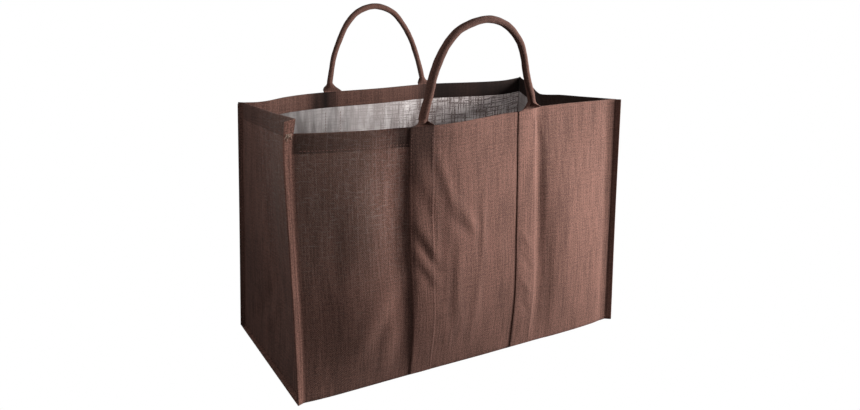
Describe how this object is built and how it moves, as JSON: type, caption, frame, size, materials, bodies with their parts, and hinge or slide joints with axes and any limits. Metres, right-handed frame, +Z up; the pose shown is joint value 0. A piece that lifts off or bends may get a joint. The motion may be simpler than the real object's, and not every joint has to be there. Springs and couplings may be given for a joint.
{
  "type": "log bag",
  "caption": "Open-topped carrying bag of coarse brown jute cloth with raised corner seams, flat sewn straps and round rolled handles, for firewood.",
  "frame": {"origin": "middle of the bag's bounding box, on the surface it stands on", "axes": "+X along the long front panel to the right, +Y from the front panel to the back panel, +Z up"},
  "size_m": [0.61, 0.3902, 0.5528],
  "materials": {
    "jute_cloth": "coarse plain weave with slubs, clear film on the inner face",
    "jute_strap": "the same cloth folded into bands and rolled handles"
  },
  "bodies": {
    "root": {"body_cloth": "jute_cloth", "left_gusset": "jute_cloth", "right_gusset": "jute_cloth", "front_strap": "jute_strap", "back_strap": "jute_strap"}
  },
  "joints": []
}
